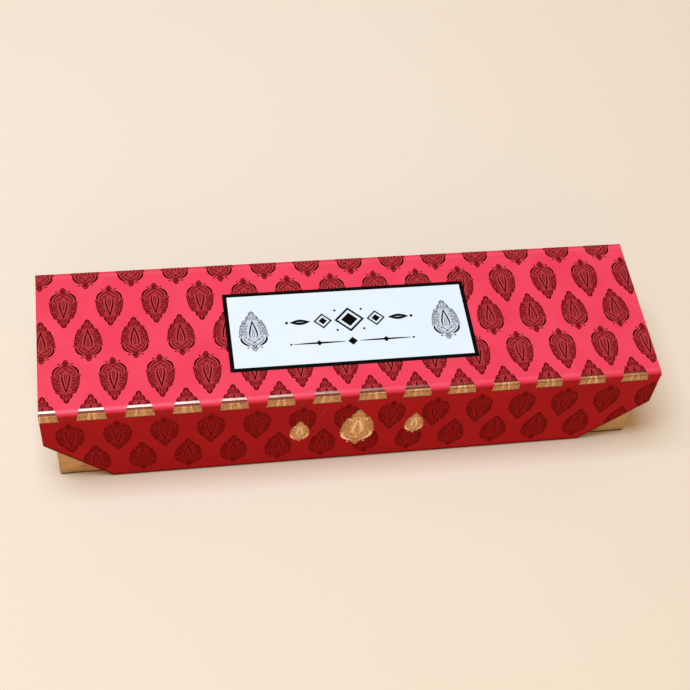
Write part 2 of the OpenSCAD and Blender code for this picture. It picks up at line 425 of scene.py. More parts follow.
def scallops(anchors, steps=5):
    """Arcs from anchor to anchor up the right side of a leaf. An anchor is its place and its arc's bulge."""
    line = []
    for (x, y, bulge), (next_x, next_y, _) in zip(anchors, anchors[1:]):
        along = Vector((next_x - x, next_y - y))
        out = Vector((along.y, -along.x)).normalized()
        for i in range(steps):
            t = i / steps
            line.append(Vector((x, y)) + along * t + out * bulge * math.sin(math.pi * t) ** 0.6)
    line.append(Vector(anchors[-1][:2]))
    return line


def curl(x, y, radius, start):
    """Points of a curl round a centre, inwards from an angle in degrees."""
    points = []
    for share in evenly(0, 1, CURL_STEPS):
        angle = math.radians(start + CURL_TURN * share)
        arm = radius * (1 - (1 - CURL_END) * share)
        points.append((x + arm * math.cos(angle), y + arm * math.sin(angle)))
    return points


# Inks of a drawing, and their names in the tree that prints it
FILL, LINE, GLINT, BOLD = range(4)
INKS = ("Fill", "Line", "Glint", "Bold")


class Drawing:
    """Flat shapes in four inks, scaled to a real height."""

    lifts = (FILL_LIFT, LINE_LIFT, GLINT_LIFT, BOLD_LIFT)
    dot_corners = 7

    def __init__(self, scale, widen=1.0):
        self.scale = scale
        self.widen = widen
        self.points = []
        self.faces = []
        self.inks = []

    def add(self, outline, faces, ink):
        """Adds faces, given by their points' places in the outline."""
        first = len(self.points)
        lift = self.lifts[ink]
        for x, y in outline:
            self.points.append((x * self.scale * self.widen, y * self.scale, lift))
        for face in faces:
            self.faces.append(tuple(first + i for i in face))
            self.inks.append(ink)

    def fill(self, outline, ink=FILL):
        """A filled shape."""
        corners = [Vector((x, y, 0)) for x, y in outline]
        self.add(outline, geometry.tessellate_polygon([corners]), ink)

    def stroke(self, points, thin, thick, ink=LINE, steps=4):
        """A pen stroke along a smooth line, thin at its ends and thick in its middle."""
        line = smooth_line(points, steps)
        last = len(line) - 1
        edges = []
        for i, point in enumerate(line):
            along = (line[min(i + 1, last)] - line[max(i - 1, 0)]).normalized()
            side = Vector((-along.y, along.x))
            half = thin + (thick - thin) * math.sin(math.pi * i / last)
            edges += [point + side * half, point - side * half]
        faces = [(2 * i, 2 * i + 1, 2 * i + 3, 2 * i + 2) for i in range(last)]
        self.add(edges, faces, ink)

    def both(self, points, thin, thick, ink=LINE, steps=4):
        """A stroke and its mirror image on the other side of the stem."""
        self.stroke(points, thin, thick, ink, steps)
        self.stroke([(-x, y) for x, y in points], thin, thick, ink, steps)

    def dot(self, x, y, radius, ink=LINE):
        """A small round dot."""
        turns = evenly(0, 2 * math.pi, self.dot_corners)[:-1]
        ring = [(x + radius * math.cos(t), y + radius * math.sin(t)) for t in turns]
        self.add(ring, [tuple(range(self.dot_corners))], ink)

    def dots(self, x, y, radius, ink=LINE):
        """A dot on each side of the stem."""
        self.dot(x, y, radius, ink)
        self.dot(-x, y, radius, ink)

    def mesh(self, name):
        """The drawing as a mesh that looks up, with its inks in a face attribute."""
        mesh = mesh_from(name, self.points, self.faces)
        ink = mesh.attributes.new("ink", "INT", "FACE")
        ink.data.foreach_set("value", self.inks)
        bm = bmesh.new()
        bm.from_mesh(mesh)
        for face in bm.faces:
            face.normal_update()
            if face.normal.z < 0:
                face.normal_flip()
        bm.to_mesh(mesh)
        bm.free()
        return mesh

    def inked(self, name, inks):
        """The drawing as a mesh with its inks' materials."""
        mesh = self.mesh(name)
        for ink in inks:
            mesh.materials.append(ink)
        for face, ink in zip(mesh.polygons, mesh.attributes["ink"].data):
            face.material_index = ink.value
        return mesh


# Right side of the leaf of height 1: its foot, the crescent, and the arcs of its edge up to the tip
LEAF_FOOT = [(0, -0.004), (0.020, 0.006), (0.032, 0.032), (0.050, 0.062), (0.080, 0.094)]
LEAF_CRESCENT = [(0.108, 0.124), (0.168, 0.158), (0.222, 0.214), (0.252, 0.284), (0.252, 0.340)]
LEAF_EDGE = [
    (0.286, 0.357, 0.006), (0.254, 0.416, 0.014), (0.258, 0.472, 0.014), (0.242, 0.528, 0.014),
    (0.238, 0.588, 0.012), (0.224, 0.640, 0.012), (0.198, 0.688, 0.042), (0.108, 0.772, 0.008),
    (0.110, 0.810, 0.012), (0.104, 0.850, 0.012), (0.078, 0.886, 0.010), (0.040, 0.908, 0.010),
    (0.050, 0.946, 0.010), (0.028, 0.982, 0.003), (0.000, 1.004, 0),
]
# Curls between the edge and the teardrop: centre, radius, and the direction in which each opens
LEAF_CURLS = (
    (0.152, 0.705, 0.030, 200), (0.176, 0.634, 0.026, 20), (0.118, 0.640, 0.020, 90),
    (0.192, 0.566, 0.027, 150), (0.130, 0.572, 0.022, 240), (0.200, 0.494, 0.029, 60),
    (0.142, 0.502, 0.022, 180), (0.206, 0.420, 0.028, 300), (0.148, 0.430, 0.023, 30),
    (0.158, 0.358, 0.022, 120), (0.106, 0.300, 0.020, 60), (0.074, 0.842, 0.024, 210),
)
# Turn of a curl in degrees, its last radius and that of its dot as shares of its first, and its steps
CURL_TURN = 320
CURL_END = 0.55
CURL_DOT = 0.34
CURL_STEPS = 8


def leaf_outline():
    """Outline of the leaf all the way round."""
    right = smooth_line(LEAF_FOOT, 3) + smooth_line(LEAF_CRESCENT, 3) + scallops(LEAF_EDGE)
    left = [Vector((-p.x, p.y)) for p in reversed(right[1:-1])]
    return right + left


def draw_leaf(scale, widen=1.0):
    """The traditional leaf of the print: a scalloped edge, a teardrop in a crescent, curls and dots."""
    art = Drawing(scale, widen)
    art.fill(leaf_outline())
    draw_leaf_edge(art)
    draw_leaf_curls(art)
    draw_teardrop(art)
    draw_leaf_neck_and_foot(art)
    return art


def draw_leaf_edge(art):
    """The outline, and the crescent with the lines inside it."""
    art.both(LEAF_FOOT, 0.008, 0.011, steps=3)
    rim = scallops(LEAF_EDGE, 4)
    art.both([(p.x - 0.006, p.y) for p in rim], 0.009, 0.012, steps=1)
    art.dots(0.130, 0.088, 0.019, BOLD)
    art.both([(x - 0.012, y + 0.008) for x, y in reversed(LEAF_CRESCENT)], 0.010, 0.022, BOLD)
    pale = [(0.214, 0.350), (0.212, 0.300), (0.186, 0.238), (0.132, 0.178), (0.076, 0.140), (0.050, 0.090)]
    art.both(pale, 0.005, 0.008, GLINT)
    dark = [(0.190, 0.330), (0.178, 0.280), (0.142, 0.222), (0.090, 0.178), (0.040, 0.146), (0.022, 0.096)]
    art.both(dark, 0.007, 0.012)


def draw_leaf_curls(art):
    """Curls that fill the space between the edge and the teardrop, and the barbs beside them."""
    for x, y, radius, start in LEAF_CURLS:
        art.both(curl(x, y, radius, start), 0.006, 0.012, steps=1)
        art.dots(x, y, radius * CURL_DOT, GLINT)
    art.dots(0.136, 0.716, 0.020, BOLD)
    for i in range(5):
        x, y = 0.246 - 0.008 * i, 0.386 + 0.060 * i
        art.both([(x - 0.030, y - 0.004), (x - 0.012, y + 0.006), (x - 0.002, y + 0.028)], 0.004, 0.009)


def draw_teardrop(art):
    """The teardrop in the middle, between its pale lines."""
    drop = [(0.002, 0.752), (0.018, 0.680), (0.042, 0.590), (0.066, 0.480), (0.074, 0.400), (0.052, 0.326)]
    art.both(drop, 0.005, 0.015, BOLD)
    art.stroke([(0, 0.772), (0, 0.730), (0, 0.680)], 0.004, 0.012, BOLD)
    inner = [(0, 0.668), (0.020, 0.560), (0.040, 0.450), (0.044, 0.390), (0.030, 0.330), (0, 0.302)]
    art.both(inner, 0.002, 0.006, GLINT)
    art.both([(0, 0.560), (0.014, 0.480), (0.022, 0.410), (0.012, 0.352), (0, 0.336)], 0.003, 0.007)
    outer = [(0.014, 0.770), (0.044, 0.660), (0.076, 0.560), (0.098, 0.460), (0.100, 0.380)]
    art.both(outer + [(0.078, 0.318), (0, 0.268)], 0.002, 0.005, GLINT)
    art.both([(0.100, 0.318), (0.062, 0.268), (0, 0.236)], 0.004, 0.009)


def draw_leaf_neck_and_foot(art):
    """The bud at the tip, the lines of the neck, and the dots and lines over the foot."""
    art.both([(0.030, 0.780), (0.052, 0.804), (0.092, 0.800)], 0.004, 0.009)
    art.both([(0, 0.796), (0.028, 0.826), (0.034, 0.868), (0.014, 0.900)], 0.004, 0.009)
    art.dot(0, 0.850, 0.016)
    art.both([(0, 0.922), (0.024, 0.936), (0.024, 0.962), (0, 0.984)], 0.006, 0.012)
    art.dot(0, 0.908, 0.010, GLINT)
    art.dot(0, 0.252, 0.014, GLINT)
    art.dot(0, 0.212, 0.020, BOLD)
    art.dots(0.034, 0.184, 0.012)
    art.both([(0, 0.160), (0.020, 0.124), (0.026, 0.086), (0, 0.036)], 0.006, 0.013)
    art.dot(0, 0.086, 0.013, BOLD)


# Printing a drawing on the box

LATTICE_INPUTS = {
    "Drawing": "Object",
    "Columns": "Int",
    "Rows": "Int",
    "Pitch": "Float",
    "Period": "Float",
    "Start": "Vector",
    "Turn": "Float",
    **dict.fromkeys(INKS, "Material"),
}


def tree_node(tree, kind, inputs, settings=None, output=0):
    """Adds a node to a geometry tree, sets its settings and then its inputs, and gives one of its outputs."""
    node = tree.nodes.new(kind)
    for name, value in (settings or {}).items():
        setattr(node, name, value)
    for key, value in inputs.items():
        if isinstance(value, bpy.types.NodeSocket):
            tree.links.new(value, node.inputs[key])
        else:
            node.inputs[key].default_value = value
    return node.outputs[output]


def lattice_tree():
    """Geometry nodes that print one drawing in columns and rows, with a material for each ink."""
    tree = bpy.data.node_groups.new("printed_lattice", "GeometryNodeTree")
    tree.interface.new_socket("Geometry", in_out="OUTPUT", socket_type="NodeSocketGeometry")
    for name, kind in LATTICE_INPUTS.items():
        tree.interface.new_socket(name, in_out="INPUT", socket_type="NodeSocket" + kind)
    given = tree.nodes.new("NodeGroupInput").outputs
    across = tree_node(tree, "ShaderNodeCombineXYZ", {"X": given["Pitch"]})
    down = tree_node(tree, "ShaderNodeCombineXYZ", {"Y": given["Period"]})
    turn = tree_node(tree, "ShaderNodeCombineXYZ", {"Z": given["Turn"]})
    columns = tree_node(tree, "GeometryNodeMeshLine", {"Count": given["Columns"], "Offset": across})
    line = {"Count": given["Rows"], "Start Location": given["Start"], "Offset": down}
    rows = tree_node(tree, "GeometryNodeMeshLine", line)
    grid = tree_node(tree, "GeometryNodeInstanceOnPoints", {"Points": rows, "Instance": columns})
    places = tree_node(tree, "GeometryNodeRealizeInstances", {0: grid})
    drawing = tree_node(tree, "GeometryNodeObjectInfo", {"Object": given["Drawing"]}, output="Geometry")
    copying = {"Points": places, "Instance": drawing, "Rotation": turn}
    copies = tree_node(tree, "GeometryNodeInstanceOnPoints", copying)
    printed = tree_node(tree, "GeometryNodeRealizeInstances", {0: copies})
    ink = tree_node(tree, "GeometryNodeInputNamedAttribute", {"Name": "ink"}, {"data_type": "INT"})
    equal = {"data_type": "INT", "operation": "EQUAL"}
    for number, name in enumerate(INKS):
        chosen = tree_node(tree, "FunctionNodeCompare", {2: ink, 3: number}, equal)
        inking = {"Geometry": printed, "Selection": chosen, "Material": given[name]}
        printed = tree_node(tree, "GeometryNodeSetMaterial", inking)
    tree.links.new(printed, tree.nodes.new("NodeGroupOutput").inputs[0])
    return tree


def lattice(tree, drawing, start, rows, turned, inks):
    """Rows of a drawing, flat, as a mesh with u along X and s along Y."""
    carrier = link("lattice", bpy.data.meshes.new("lattice"))
    modifier = carrier.modifiers.new("print", "NODES")
    modifier.node_group = tree
    values = {
        "Drawing": drawing,
        "Columns": MOTIF_COLUMNS,
        "Rows": rows,
        "Pitch": MOTIF_PITCH * MM,
        "Period": MOTIF_PERIOD * MM,
        "Start": (start[0] * MM, start[1] * MM, 0.0),
        "Turn": math.pi if turned else 0.0,
        **dict(zip(INKS, inks)),
    }
    for item in tree.interface.items_tree:
        if item.in_out == "INPUT":
            modifier[item.identifier] = values[item.name]
    carrier.update_tag()
    bpy.context.view_layer.update()
    mesh = baked(carrier).data
    bpy.data.objects.remove(carrier)
    return mesh


def joined(meshes):
    """Several meshes as one bmesh, with their materials in one list."""
    bm = bmesh.new()
    materials = []
    for mesh in meshes:
        first = len(bm.faces)
        bm.from_mesh(mesh)
        bm.faces.ensure_lookup_table()
        for material in mesh.materials:
            if material not in materials:
                materials.append(material)
        places = [materials.index(m) for m in mesh.materials]
        for face in bm.faces[first:]:
            face.material_index = places[face.material_index]
    return bm, materials


def piece_from(bm, name, materials):
    """Ends a bmesh as a piece in the scene, with its materials."""
    mesh = bpy.data.meshes.new(name)
    bm.to_mesh(mesh)
    bm.free()
    for material in materials:
        mesh.materials.append(material)
    return link(name, mesh)


def cut_plane(bm, point, normal, clear):
    """Cuts a flat print along a line, and may clear what lies on the side that the normal points to."""
    everything = bm.verts[:] + bm.edges[:] + bm.faces[:]
    place, across = Vector((*point, 0)) * MM, Vector((*normal, 0))
    bmesh.ops.bisect_plane(
        bm, geom=everything, dist=1e-8, plane_co=place, plane_no=across, clear_outer=clear
    )


def fold_print(name, meshes, limits, scores=()):
    """A flat print, cut to its limits and laid on the folded cover.

    A limit is a point (u, s) and the direction that is cut away. Scores are distances along the sheet
    where the print bends with the paper."""
    bm, materials = joined(meshes)
    for point, away in limits:
        cut_plane(bm, point, away, True)
    for s in scores:
        cut_plane(bm, (0, s), (0, 1), False)
    layer = bm.loops.layers.uv.new("Sheet")
    for face in bm.faces:
        for loop in face.loops:
            loop[layer].uv = (loop.vert.co / MM).xy
    for vert in bm.verts:
        u, s, lift = vert.co / MM
        vert.co = Vector((u, *folded(s, -lift))) * MM
    return piece_from(bm, name, materials)


def end_limits():
    """Limits at the two ends of the box."""
    end = HALF_L - PRINT_MARGIN
    return [((-end, 0), (-1, 0)), ((end, 0), (1, 0))]


def between(low, high):
    """Limits at two distances along the sheet."""
    return [((0, low), (0, -1)), ((0, high), (0, 1))]


def cut_limits(cut):
    """Limits along the cut corners of the flap."""
    low = on_flap(PANEL_LOW)
    foot = HALF_L - cut - PRINT_MARGIN * math.sqrt(2)
    return [((-foot, low), (-1, -1)), ((foot, low), (1, -1))]


# Finishes


def paint(red, green, blue):
    """A colour as a picture gives it, from 0 to 255, in the shader's linear light."""
    linear = []
    for part in (red, green, blue):
        c = part / 255
        linear.append(c / 12.92 if c <= 0.04045 else ((c + 0.055) / 1.055) ** 2.4)
    return (*linear, 1.0)


def operator(operation, reflected=False):
    """A Python operator that adds a Math node."""

    def apply(level, other=0.0):
        first, second = (other, level) if reflected else (level, other)
        return level.finish.math(operation, first, second)

    return apply


class Level:
    """A number, colour or vector that varies over a surface. Python's operators add Math nodes."""

    __add__, __radd__ = operator("ADD"), operator("ADD", True)
    __sub__, __rsub__ = operator("SUBTRACT"), operator("SUBTRACT", True)
    __mul__, __rmul__ = operator("MULTIPLY"), operator("MULTIPLY", True)
    __truediv__, __rtruediv__ = operator("DIVIDE"), operator("DIVIDE", True)
    __abs__ = operator("ABSOLUTE")

    def __init__(self, finish, socket):
        self.finish = finish
        self.socket = socket


class Finish:
    """A material in the making. Numbers that are the same all over it are set on its shader at once."""

    def __init__(self, name, colour, sockets=None):
        self.material = bpy.data.materials.new(name)
        self.material.use_nodes = True
        self.tree = self.material.node_tree
        self.shader = self.tree.nodes["Principled BSDF"]
        self.give("Base Color", colour)
        for key, value in (sockets or {}).items():
            self.give(key, value)

    def feed(self, socket, value):
        """Links a level to a socket, or sets the socket's value."""
        if isinstance(value, Level):
            self.tree.links.new(value.socket, socket)
        else:
            socket.default_value = value

    def give(self, name, value):
        """Feeds one of the shader's own sockets."""
        self.feed(self.shader.inputs[name], value)

    def node(self, kind, settings=None, inputs=None, output=0):
        """Adds a node, with its settings first and then the values or links of its sockets."""
        node = self.tree.nodes.new("ShaderNode" + kind)
        for name, value in (settings or {}).items():
            setattr(node, name, value)
        for key, value in (inputs or {}).items():
            self.feed(node.inputs[key], value)
        return Level(self, node.outputs[output])

    def math(self, operation, first, second=0.0):
        """One Math node."""
        return self.node("Math", {"operation": operation}, {0: first, 1: second})

    def mix(self, share, first, second):
        """A colour between two, by a share from 0 to 1."""
        return self.node("Mix", {"data_type": "RGBA"}, {0: share, 6: first, 7: second}, 2)

    def rise(self, level, low, high):
        """0 below low, 1 above high, and a smooth rise between them."""
        settings = {"interpolation_type": "SMOOTHSTEP"}
        return self.node("MapRange", settings, {"Value": level, "From Min": low, "From Max": high})

    def band(self, level, rise, fall):
        """1 in a band of a level that starts with a soft rise and ends with a soft fall."""
        return self.rise(level, *rise) * (1 - self.rise(level, *fall))

    def fade(self, level, low, high, first, second, most=1.0):
        """A colour that goes from one to another, or part of the way, while a level rises."""
        share = self.rise(level, low, high)
        return self.mix(share if most == 1.0 else share * most, first, second)

    def object_place(self):
        """Place on the piece in metres."""
        return self.node("TexCoord", output=3)

    def sheet_place(self):
        """Place on the flat sheet in millimetres, as one vector."""
        return self.node("UVMap", {"uv_map": "Sheet"})

    def part(self, vector, axis):
        """One coordinate of a vector."""
        return self.node("SeparateXYZ", inputs={0: vector}, output=axis)

    def stretch(self, vector, scale, turn=0.0):
        """A vector scaled along each axis, for a pattern with a direction."""
        return self.node("Mapping", inputs={"Vector": vector, "Scale": scale, "Rotation": (0, 0, turn)})

    def noise(self, vector, scale, detail=3.0, rough=0.5, warp=0.0):
        """Soft irregular values round a half."""
        inputs = {"Vector": vector, "Scale": scale, "Detail": detail, "Roughness": rough, "Distortion": warp}
        return self.node("TexNoise", inputs=inputs)

    def done(self, colour, roughness, relief=None, depth=0.0):
        """The finished material, from its colour, its roughness and a relief with a depth in millimetres."""
        self.give("Base Color", colour)
        self.give("Roughness", roughness)
        if relief:
            self.give("Normal", self.node("Bump", inputs={"Distance": depth * MM, "Height": relief}))
        return self.material


# Colours of the papers, inks and foils
# The lid's coral and the deep red of the flap, the spine and the lid's sides stand for one red paper: the
# coral holds a painted sheen of the light from above, and the deep red is painted shade
CORAL = paint(250, 70, 95)
CORAL_PALE = paint(255, 112, 134)
DEEP_RED = paint(174, 20, 23)
# Dark red of the painted shade along the flap's lower edge and cut corners
EDGE_RED = paint(78, 9, 5)
GOLD = paint(215, 163, 112)
GOLD_BRIGHT = paint(244, 204, 150)
GOLD_BROWN = paint(166, 114, 72)
IVORY = paint(240, 232, 216)
# Gloss of the lid's and the flap's paper, and of the print on them
LID_GLOSS = 0.03
FLAP_GLOSS = 0.02
# Distances from the front corner. Below the first, the print's gold foil shows its own gold; above it the
# inks' maroon is painted dark reflection of the foil. A painted dark reflection runs along the bend up to the
# second, and a pale painted highlight shines up to the third. The print ends in a dark line at the last.
FOIL_RUN = 1.3
DARK_REFLECTION_END = 1.9
FOIL_HIGHLIGHT_END = 3.6
FOIL_END = on_flap(BAND_LOW)
FOIL_HIGHLIGHT_COLOUR = paint(164, 140, 128)
FOIL_DARK = paint(118, 48, 32)
# Distance over the lid at which the rays in the foil's own gold would meet
RAY_APEX = 9.0
# Soft edges, each from where it starts to where it ends, in millimetres. Over the lid from its corners: the
# coat's gloss, the painted highlight along a bend, the end of both, and coral after the deep red painted
# shade of the sides
GLOSS_START = (0.8, 2.0)
CORAL_HIGHLIGHT_START = (1.4, 2.6)
BEND_LIGHT_END = (3.0, 4.4)
SIDE_SHADE_RUN = (-1.8, 2.2)
# Past the lid's ends, where painted shade turns its edge red, and above the flap's edge, where its painted
# shade line ends
END_SHADE_RUN = (-0.4, 0.2)
EDGE_SHADE_RUN = (0.2, 2.2)
# To the right of the box's middle: where the foil's painted highlight fades out, and where the tray's gold
# takes a painted pale reflection
UNLIT_RUN = (-20, 75)
PALE_REFLECTION_RUN = (90, 145)
# From the tray's middle: where its paper is creased. Above its foot: where its painted contact shadow ends
CREASED_RUN = (118, 150)
FOOT_SHADOW_RUN = (1.3, 2.5)


def inward(s):
    """Distance from the nearer of the front and back corners, over the lid."""
    return BOX_D / 2 - abs(s - BOX_D / 2)


def coated_paper(name, colour, gloss, colour_of):
    """Coated paper with a fine tooth. `colour_of` gives its colour from the finish and the sheet's place."""
    finish = Finish(name, colour, {"Specular IOR Level": gloss, "Coat Roughness": 0.3})
    sheet = finish.sheet_place()
    run = inward(finish.part(sheet, Y))
    finish.give("Coat Weight", finish.band(run, GLOSS_START, BEND_LIGHT_END) * 0.3)
    tone = finish.fade(finish.noise(sheet, 2.6, 2.0), 0.5, 0.8, colour_of(finish, sheet), CORAL_PALE, 0.1)
    rough = 0.36 + finish.noise(sheet, 0.5, 2.0) * 0.12
    return finish.done(tone, rough, finish.noise(sheet, 3.0, 4.0, 0.6), 0.012)


def lid_tone(finish, sheet):
    """Coral, with a painted highlight along the folds, and deep red painted shade where the sheet goes down
    over the edges.
    """
    run = inward(finish.part(sheet, Y))
    cloud = finish.noise(sheet, 0.035, 3.0)
    tone = finish.fade(cloud, 0.3, 0.7, paint(241, 66, 90), paint(246, 75, 99))
    # Painted highlight along the folds
    tone = finish.mix(finish.band(run, CORAL_HIGHLIGHT_START, BEND_LIGHT_END) * 0.2, tone, CORAL_PALE)
    # Painted shade: the lid's ends turn deep red
    aside = abs(finish.part(sheet, X)) - HALF_L
    tone = finish.fade(aside, *END_SHADE_RUN, tone, DEEP_RED, 0.6)
    # Painted shade: deep red where the sheet goes down over the front and back bends
    return finish.fade(run, *SIDE_SHADE_RUN, DEEP_RED, tone)


def deep_tone(finish, sheet):
    """Deep red, the painted shade of the lid's coral paper, with faint clouds along the box."""
    cloud = finish.noise(finish.stretch(sheet, (0.02, 0.05, 1)), 1.0, 3.0)
    return finish.fade(cloud, 0.3, 0.7, paint(168, 19, 22), paint(180, 22, 25))


def flap_tone(cut):
    """Deep red, with painted shade along the flap's lower edge and cut corners, where the paper turns over
    the board.
    """

    def tone(finish, sheet):
        above = finish.part(sheet, Y) - on_flap(PANEL_LOW)
        corner = (HALF_L - abs(finish.part(sheet, X)) + above - cut) / math.sqrt(2)
        edge = finish.math("MINIMUM", above, corner)
        # Painted shade along the lower edge and the cut corners
        return finish.fade(edge, *EDGE_SHADE_RUN, EDGE_RED, deep_tone(finish, sheet))

    return tone


def paper_back():
    """Uncoated inner side of the cover papers."""
    finish = Finish("paper_back", IVORY)
    fibre = finish.noise(finish.stretch(finish.object_place(), (900, 2600, 900)), 1.0, 3.0)
    tone = finish.fade(fibre, 0.3, 0.7, paint(232, 222, 204), paint(244, 238, 224))
    return finish.done(tone, 0.75 + fibre * 0.1, fibre, 0.02)


def lid_ink(name, colour, shade, foil, foil_shade):
    """The lid's gold foil print: its maroon inks are painted dark reflection of the foil; where the lid
    starts to bend come a painted pale highlight and a painted dark reflection, and below that the foil's own
    gold.
    """
    finish = Finish(name, colour, {"Specular IOR Level": LID_GLOSS})
    sheet = finish.sheet_place()
    across, run = finish.part(sheet, X), finish.part(sheet, Y)
    fine = finish.noise(sheet, 1.8, 3.0, 0.65)
    grain = finish.noise(finish.stretch(sheet, (1.6, 0.7, 1)), 1.5, 4.0, 0.7)
    # The foil shows its own gold below FOIL_RUN; above it the inks' maroon is painted dark reflection of the
    # foil
    own_gold = 1 - finish.rise(run, FOIL_RUN - 0.3, FOIL_RUN + 0.1)
    # Painted pale highlight where the lid starts to bend, on the left side only; the metal there also
    # reflects the lamps
    lit = 1 - finish.rise(across + fine * 20, *UNLIT_RUN)
    foil_highlight = finish.band(run, (DARK_REFLECTION_END - 0.2, DARK_REFLECTION_END + 0.1), (FOIL_HIGHLIGHT_END - 0.3, FOIL_HIGHLIGHT_END)) * lit
    # Painted dark reflection along the bend, between the foil's gold and the highlight
    dark_reflection = finish.rise(run + lit, 0.9, 1.3) * (1 - finish.rise(run, DARK_REFLECTION_END - 0.3, DARK_REFLECTION_END))
    column = (across - UP_X) / MOTIF_PITCH + 0.5
    number = finish.math("FLOOR", column)
    aside = (column - number - 0.5) * MOTIF_PITCH
    rays = finish.node("CombineXYZ", inputs={0: aside / (RAY_APEX - run) * RAY_APEX, 1: number})
    streak = finish.noise(rays, 1.4, 2.0, 0.6)
    metal = finish.fade(streak + grain * 0.3, 0.56, 0.74, foil, foil_shade)
    metal = finish.fade(run, FOIL_END + 0.3, FOIL_END + 0.8, FOIL_DARK, metal)
    tone = finish.fade(fine, 0.42, 0.68, colour, shade)
    tone = finish.mix(own_gold, finish.mix(foil_highlight * 0.9, tone, FOIL_HIGHLIGHT_COLOUR), metal)
    tone = finish.mix(dark_reflection * 0.9, tone, FOIL_DARK)
    finish.give("Metallic", own_gold * (1 - dark_reflection * 0.7) + foil_highlight)
    return finish.done(tone, 0.42 - foil_highlight * 0.16 + grain * 0.06, grain, 0.012)


def tone_ink(name, colour, shade):
    """Darker red varnish of the flap's and the spine's print."""
    finish = Finish(name, colour, {"Specular IOR Level": FLAP_GLOSS})
    fine = finish.noise(finish.sheet_place(), 1.6, 3.0, 0.65)
    return finish.done(finish.fade(fine, 0.4, 0.7, colour, shade), 0.46 + fine * 0.1)


def gold_leaf(name, colour, shade):
    """Pressed gold foil of the medallions."""
    finish = Finish(name, colour, {"Metallic": 0.85})
    grain = finish.noise(finish.object_place(), 1500, 4.0, 0.7)
    return finish.done(finish.fade(grain, 0.45, 0.62, colour, shade), 0.30 + grain * 0.1, grain, 0.03)


def gold_paper(name):
    """Gold metallic paper of the tray: creased at both ends with painted highlights and shade, a painted pale
    reflection at its right, and a painted contact shadow at its foot.
    """
    finish = Finish(name, GOLD, {"Metallic": 0.5})
    place = finish.object_place()
    across, height = finish.part(place, X) / MM, finish.part(place, Z) / MM
    cloud = finish.noise(place, 26.0, 3.0)
    grain = finish.noise(finish.stretch(place, (1200, 1200, 300)), 1.0, 3.0)
    drawn = finish.noise(finish.stretch(place, (60, 60, 150), 0.5), 1.0, 4.0, 0.65, 0.6)
    ends = finish.rise(abs(across) + drawn * 30, *CREASED_RUN)
    tone = finish.fade(cloud, 0.35, 0.65, paint(188, 134, 74), paint(200, 148, 88))
    # Painted highlights and shade of the crumples: lighter and darker streaks at the creased ends
    tone = finish.mix(finish.rise(drawn, 0.46, 0.72) * (ends * 0.5 + 0.12), tone, paint(232, 186, 118))
    tone = finish.mix((1 - finish.rise(drawn, 0.34, 0.5)) * ends * 0.5, tone, paint(122, 80, 36))
    tone = finish.fade(grain, 0.45, 0.8, tone, paint(160, 106, 50), 0.3)
    # Painted pale reflection towards the right end
    tone = finish.fade(across, *PALE_REFLECTION_RUN, tone, paint(204, 176, 126), 0.5)
    light, dark = creases(finish, place, cloud, ends)
    # Painted shade in the crease dents and painted highlights on the ridges
    tone = finish.mix(dark * 0.4, tone, paint(112, 70, 30))
    tone = finish.mix(light * 0.4, tone, paint(246, 210, 150))
    # Painted contact shadow along the foot
    tone = finish.fade(height + cloud * 0.8, *FOOT_SHADOW_RUN, paint(60, 32, 12), tone)
    return finish.done(tone, 0.34 + cloud * 0.1, light + grain * 0.15, 0.025)


def creases(finish, place, cloud, where):
    """Painted highlights on the ridges of crumpled paper and painted shade in the dents beside them; the
    ridges also give its bumps.
    """
    bend = finish.stretch(cloud, (0.03, 0.03, 0.03))
    bent = finish.node("VectorMath", {"operation": "ADD"}, {0: place, 1: bend})
    pattern = {"Vector": bent, "Scale": 42.0, "Randomness": 1.0}
    cells = finish.node("TexVoronoi", {"feature": "DISTANCE_TO_EDGE"}, pattern)
    patchy = finish.rise(finish.noise(place, 46.0, 2.0), 0.42, 0.56) * where
    light = (1 - finish.rise(cells, 0.0, 0.016)) * patchy
    return light, finish.band(cells, (0.008, 0.018), (0.024, 0.045)) * patchy


def label_paper():
    """Bluish-white label."""
    finish = Finish("label_paper", paint(232, 244, 254), {"Specular IOR Level": 0.1})
    place = finish.object_place()
    cloud = finish.noise(place, 30.0, 2.0)
    tone = finish.fade(cloud, 0.35, 0.65, paint(232, 243, 253), paint(236, 244, 254))
    return finish.done(tone, 0.32 + cloud * 0.08, finish.noise(place, 500.0, 2.0), 0.003)


def label_ink(name, colour, shade, metallic=0.0):
    """Black or silver ink of the label."""
    finish = Finish(name, colour, {"Metallic": metallic, "Specular IOR Level": 0.05})
    grain = finish.noise(finish.object_place(), 2200.0, 3.0, 0.7)
    return finish.done(finish.fade(grain, 0.4, 0.65, colour, shade), 0.36 + grain * 0.08)


def plain_finish(name, colour, shade, scale, roughness, metallic=0.0, relief=0.03):
    """A board, card, tape or metal with a fine irregular grain."""
    finish = Finish(name, colour, {"Metallic": metallic})
    place = finish.object_place()
    grain = finish.noise(finish.stretch(place, scale), 1.0, 4.0, 0.6)
    tone = finish.fade(grain, 0.35, 0.7, colour, shade)
    tone = finish.fade(finish.noise(place, 2400, 2.0), 0.62, 0.75, tone, shade, 0.4)
    return finish.done(tone, roughness - 0.06 + grain * 0.12, grain, relief)


# Pieces


def dress(piece, *materials):
    """Gives a piece its materials in order."""
    piece.data.materials.clear()
    for material in materials:
        piece.data.materials.append(material)


def paper_piece(name, mesh, outside, outer, inner):
    """A cover paper with its thickness, printed outside and plain inside."""
    face_outwards(mesh, outside)
    piece = link(name, mesh)
    dress(piece, outer, inner)
    thicken(piece)
    smooth_shade(piece.data)
    return piece


